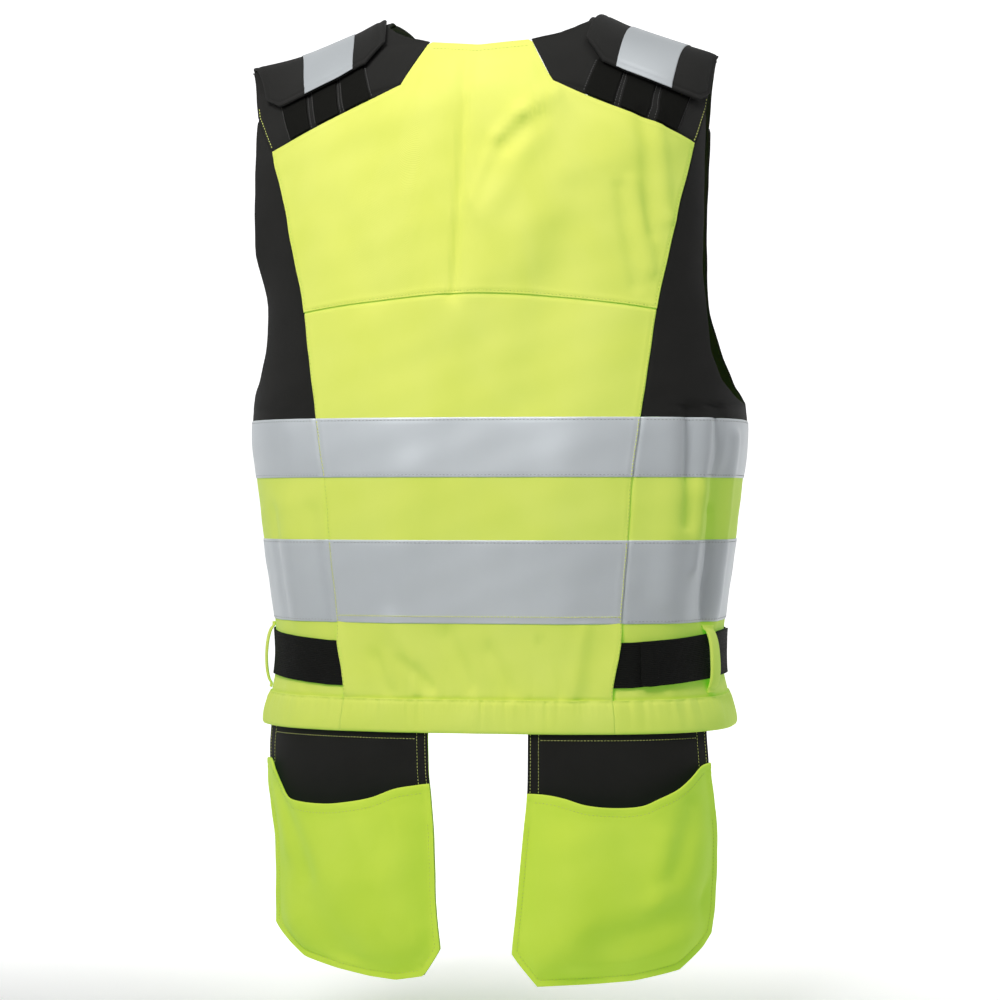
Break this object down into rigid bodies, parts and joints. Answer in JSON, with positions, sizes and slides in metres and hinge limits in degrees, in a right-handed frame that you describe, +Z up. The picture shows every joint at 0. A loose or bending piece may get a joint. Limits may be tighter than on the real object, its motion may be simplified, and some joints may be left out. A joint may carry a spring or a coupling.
{
  "type": "utility work vest",
  "caption": "Sleeveless work vest, standing as worn, with reflective bands, black shoulder yokes, shoulder flaps, elastic waist straps and holster pockets hung from the hem.",
  "frame": {"origin": "midway between the shoulders just above their neck ends, where the vest hangs on the wearer", "axes": "+Z up, -Y towards the wearer's back, +X to the wearer's right"},
  "size_m": [0.4364, 0.2833, 0.8247],
  "materials": {
    "yellow_cloth": "matte fluorescent twill",
    "black_cloth": "matte hard-wearing weave",
    "reflective_tape": "satin glass-bead tape",
    "loop_tape": "fuzzy loop pile",
    "elastic": "ribbed elastic",
    "zip": "moulded teeth on woven tape"
  },
  "bodies": {
    "root": {"back_yoke": "yellow_cloth", "back_centre": "yellow_cloth", "hem_back": "yellow_cloth", "side_lower_left": "yellow_cloth", "front_panel_left": "yellow_cloth", "hem_side_left": "yellow_cloth", "belt_loop_left": "yellow_cloth", "pocket_rear_left": "yellow_cloth", "pocket_pouch_left": "yellow_cloth", "side_lower_right": "yellow_cloth", "front_panel_right": "yellow_cloth", "hem_side_right": "yellow_cloth", "belt_loop_right": "yellow_cloth", "pocket_rear_right": "yellow_cloth", "pocket_pouch_right": "yellow_cloth", "side_panel_back_left": "black_cloth", "side_panel_front_left": "black_cloth", "shoulder_yoke_left": "black_cloth", "front_shoulder_left": "black_cloth", "shoulder_flap_left": "black_cloth", "pocket_backing_left": "black_cloth", "side_panel_back_right": "black_cloth", "side_panel_front_right": "black_cloth", "shoulder_yoke_right": "black_cloth", "front_shoulder_right": "black_cloth", "shoulder_flap_right": "black_cloth", "pocket_backing_right": "black_cloth", "tape_upper_back": "reflective_tape", "tape_lower_back": "reflective_tape", "tape_upper_side_left": "reflective_tape", "tape_lower_side_left": "reflective_tape", "tape_upper_front_left": "reflective_tape", "tape_lower_front_left": "reflective_tape", "flap_patch_left": "reflective_tape", "tape_upper_side_right": "reflective_tape", "tape_lower_side_right": "reflective_tape", "tape_upper_front_right": "reflective_tape", "tape_lower_front_right": "reflective_tape", "flap_patch_right": "reflective_tape", "loop_strip_left_1": "loop_tape", "loop_strip_left_2": "loop_tape", "loop_strip_left_3": "loop_tape", "loop_strip_right_1": "loop_tape", "loop_strip_right_2": "loop_tape", "loop_strip_right_3": "loop_tape", "waist_strap_left": "elastic", "waist_strap_right": "elastic", "strap_tongue_right": "elastic", "front_zip": "zip", "zip_slider": "zip"}
  },
  "joints": []
}
